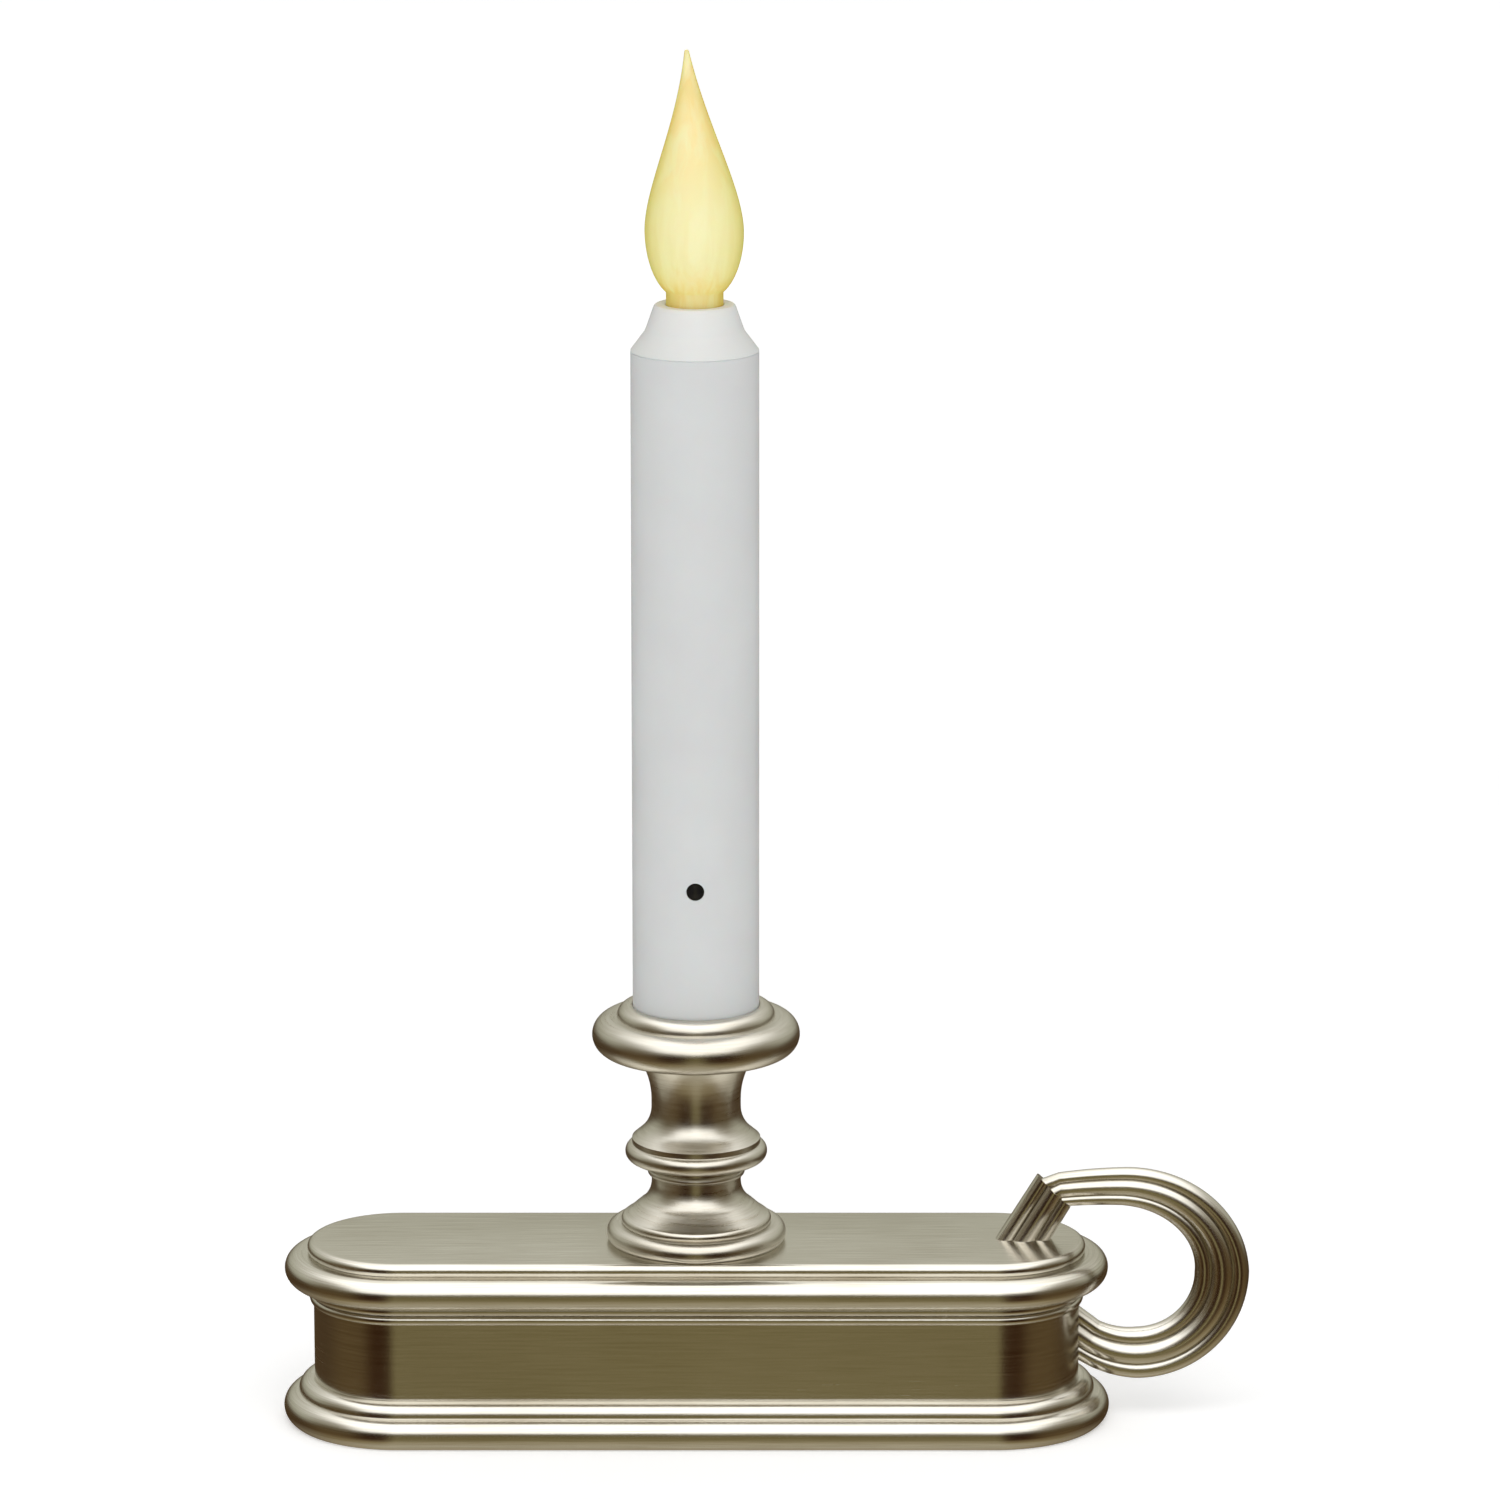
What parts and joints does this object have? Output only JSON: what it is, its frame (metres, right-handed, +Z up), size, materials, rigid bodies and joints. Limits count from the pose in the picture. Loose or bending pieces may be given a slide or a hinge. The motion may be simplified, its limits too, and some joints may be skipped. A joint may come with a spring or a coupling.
{
  "type": "flameless LED window candle",
  "caption": "Battery window candle: round-ended brushed metal base with loop handle and turned stem, plastic taper with a light sensor, and a twist-in LED flame bulb.",
  "frame": {"origin": "on the table under the axis of the candle, in the plane of the base's foot ring", "axes": "+Z up along the candle, +X towards the loop handle, +Y towards the back, the light sensor faces -Y"},
  "size_m": [0.1696, 0.0412, 0.242],
  "materials": {
    "pewter_metal": "satin",
    "underside_plastic": "matte",
    "steel_fixings": "satin",
    "cell_jacket": "gloss",
    "contact_metal": "polished",
    "switch_can": "satin",
    "switch_knob": "matte",
    "pin_metal": "satin",
    "candle_plastic": "satin",
    "flame_plastic": "satin",
    "led_epoxy": "gloss",
    "holder_plastic": "matte",
    "window_plastic": "gloss",
    "sensor_ceramic": "matte",
    "board_laminate": "satin",
    "chip_epoxy": "matte",
    "crystal_can": "polished",
    "capacitor_sleeve": "gloss",
    "red_insulation": "satin",
    "black_insulation": "satin"
  },
  "bodies": {
    "candle": {"base_shell": "pewter_metal", "bottom_plate": "underside_plastic", "hinge_pins": "steel_fixings", "plate_screws": "steel_fixings", "battery_left": "cell_jacket", "battery_right": "cell_jacket", "positive_contact": "contact_metal", "negative_contact": "contact_metal", "contact_spring": "contact_metal", "switch_housing": "switch_can", "switch_pins": "pin_metal", "stem": "pewter_metal", "stem_screws": "steel_fixings", "drip_cup": "pewter_metal", "candle_tube": "candle_plastic", "tube_cap": "candle_plastic", "led": "led_epoxy", "led_holder": "holder_plastic", "sensor_window": "window_plastic", "light_sensor": "sensor_ceramic", "circuit_board": "board_laminate", "timer_chip": "chip_epoxy", "quartz_crystal": "crystal_can", "capacitor": "capacitor_sleeve", "resistors": "chip_epoxy", "transistor": "chip_epoxy", "handle": "pewter_metal", "handle_screws": "steel_fixings", "wire_positive": "red_insulation", "wire_negative": "black_insulation", "wire_switch": "black_insulation", "led_wires": "red_insulation"},
    "door": {"battery_door": "underside_plastic"},
    "slider": {"switch_slider": "switch_knob"},
    "bulb": {"flame_bulb": "flame_plastic"}
  },
  "joints": [
    {"name": "door_hinge", "type": "hinge", "parent": "candle", "child": "door", "pos_m": [0, 0.0146, 0.0017], "axis": [1, 0, 0], "range_deg": [0, 95]},
    {"name": "switch_slide", "type": "slide", "parent": "candle", "child": "slider", "axis": [1, 0, 0], "range_m": [0, 0.003]},
    {"name": "bulb_twist", "type": "hinge", "parent": "candle", "child": "bulb", "pos_m": [0, 0, 0.195], "axis": [0, 0, 1], "range_deg": [0, 90]}
  ]
}
